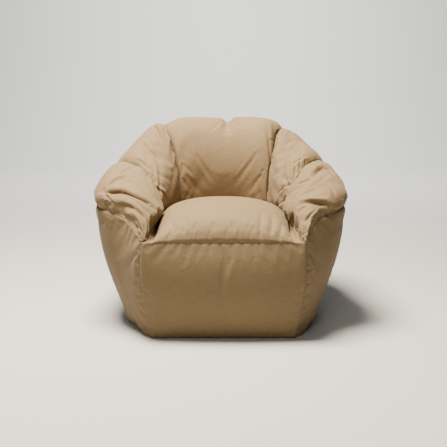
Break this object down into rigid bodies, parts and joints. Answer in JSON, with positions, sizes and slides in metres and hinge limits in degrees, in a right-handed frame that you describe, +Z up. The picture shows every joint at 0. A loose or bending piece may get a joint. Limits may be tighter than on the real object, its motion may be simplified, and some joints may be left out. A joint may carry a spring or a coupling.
{
  "type": "bean bag chair",
  "caption": "Tub-shaped bean bag chair with padded arms, channelled backrest, domed seat and zipped bead chambers.",
  "frame": {"origin": "on the floor, at the middle of the chair's bounding box", "axes": "+Z up, the chair faces -Y, +X is the sitter's left; left and right in node names are as seen from the front, so right is +X"},
  "size_m": [0.88, 0.82, 0.715],
  "materials": {
    "canvas": "matte",
    "partition": "matte",
    "liner": "matte",
    "beads": "matte",
    "zip_tape": "matte",
    "zip_coil": "satin",
    "zip_slider": "satin",
    "label": "satin"
  },
  "bodies": {
    "chair": {"back_beads": "beads", "back_liner": "liner", "back_panel": "canvas", "base_front_panel": "canvas", "base_rear_panel": "canvas", "care_label": "label", "front_panel": "canvas", "left_arm_beads": "beads", "left_arm_panel": "canvas", "left_arm_web": "partition", "left_rear_panel": "canvas", "left_seat_gusset": "canvas", "left_side_panel": "canvas", "left_wing_beads": "beads", "left_wing_panel": "canvas", "left_wing_web": "partition", "rear_zip_coil_left": "zip_coil", "rear_zip_coil_right": "zip_coil", "rear_zip_stops": "zip_coil", "rear_zip_tape_left": "zip_tape", "rear_zip_tape_right": "zip_tape", "right_arm_beads": "beads", "right_arm_panel": "canvas", "right_arm_web": "partition", "right_rear_panel": "canvas", "right_seat_gusset": "canvas", "right_side_panel": "canvas", "right_wing_beads": "beads", "right_wing_panel": "canvas", "right_wing_web": "partition", "seat_beads": "beads", "seat_divider": "partition", "seat_liner": "liner", "seat_panel": "canvas", "seat_zip_coil_left": "zip_coil", "seat_zip_coil_right": "zip_coil", "seat_zip_stops": "zip_coil", "seat_zip_tape_left": "zip_tape", "seat_zip_tape_right": "zip_tape"},
    "rear_slider": {"rear_zip_slider": "zip_slider"},
    "seat_slider": {"seat_zip_slider": "zip_slider"}
  },
  "joints": [
    {"name": "rear_zip_slide", "type": "slide", "parent": "chair", "child": "rear_slider", "axis": [0, 0.2652, 0.9642], "range_m": [0, 0.255]},
    {"name": "seat_zip_slide", "type": "slide", "parent": "chair", "child": "seat_slider", "axis": [1, 0, 0], "range_m": [0, 0.305]}
  ]
}
